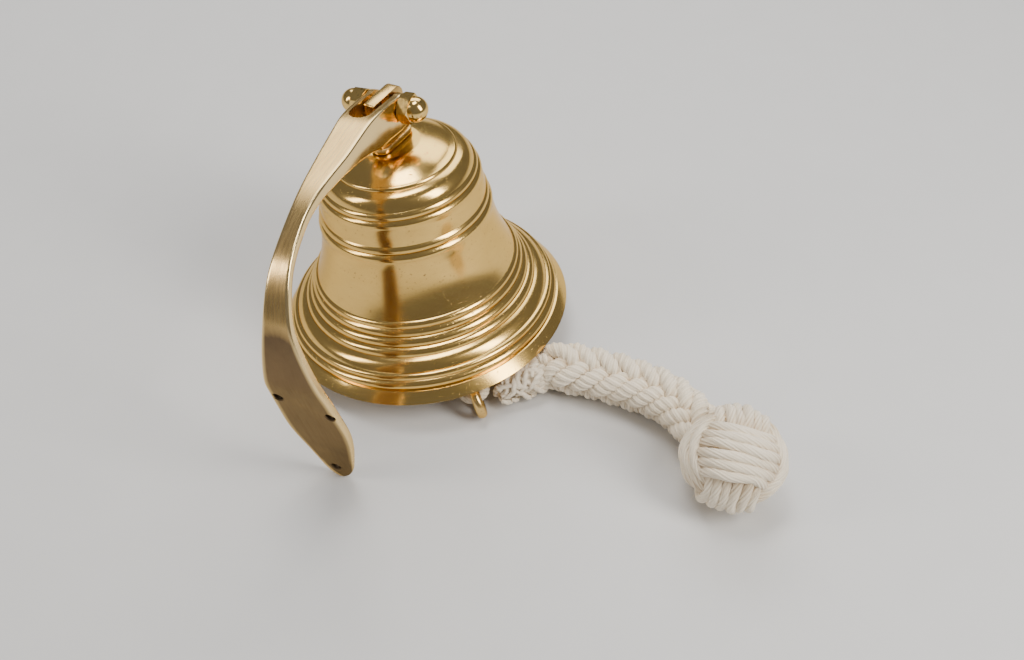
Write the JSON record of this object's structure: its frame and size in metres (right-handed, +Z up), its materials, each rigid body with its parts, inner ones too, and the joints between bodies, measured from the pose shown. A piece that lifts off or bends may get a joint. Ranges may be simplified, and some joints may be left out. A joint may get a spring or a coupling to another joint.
{
  "type": "ship bell",
  "caption": "Cast brass ship's bell with a pivoting wall bracket, a linked swinging clapper and a thick plaited cotton lanyard that ends in a ball knot.",
  "frame": {"origin": "on the surface that the bell stands on, under the middle of the metalwork's bounding box", "axes": "+Z up; the wall bracket hangs towards -Y; the bell leans back on its lanyard, which runs out towards +X"},
  "size_m": [0.2815, 0.2016, 0.1493],
  "materials": {
    "polished_brass": "turned and hand polished, with fine hoop brushing and small casting pits",
    "satin_brass": "satin, with brown handling tarnish in the hollows",
    "bright_brass": "bright polish",
    "aged_brass": "dull, unpolished",
    "cotton_rope": "twisted and plaited natural cotton cord"
  },
  "bodies": {
    "bell": {"bell_shell": "polished_brass", "hanger": "satin_brass", "crown_washer": "aged_brass", "crown_nut": "aged_brass", "crown_eye": "satin_brass"},
    "bracket": {"wall_bracket": "satin_brass", "pivot_stud": "satin_brass", "dome_nut_right": "bright_brass", "dome_nut_left": "bright_brass"},
    "link": {"clapper_link": "satin_brass"},
    "clapper": {"clapper_rod": "satin_brass", "clapper_ball": "bright_brass", "clapper_tail_eye": "satin_brass", "lanyard_loop": "cotton_rope"},
    "lanyard": {"lanyard_neck": "cotton_rope", "lanyard_rope": "cotton_rope", "lanyard_knot": "cotton_rope"}
  },
  "joints": [
    {"name": "bracket_swing", "type": "hinge", "parent": "bell", "child": "bracket", "pos_m": [-0.01765, 0.0321, 0.13609], "axis": [-0.9901, -0.0035, -0.1405], "range_deg": [-22, 200]},
    {"name": "clapper_turn", "type": "hinge", "parent": "bell", "child": "link", "pos_m": [-0.01061, 0.02964, 0.08655], "axis": [-0.1405, 0.0491, 0.9889], "range_deg": [-25, 25]},
    {"name": "clapper_swing", "type": "hinge", "parent": "link", "child": "clapper", "pos_m": [-0.01061, 0.02964, 0.07775], "axis": [0.6518, 0.7584, 0], "range_deg": [0, 78]},
    {"name": "lanyard_swing", "type": "hinge", "parent": "clapper", "child": "lanyard", "pos_m": [0.0459, -0.0168, 0.0096], "axis": [-0.8499, 0.5269, 0], "range_deg": [0, 60]}
  ]
}
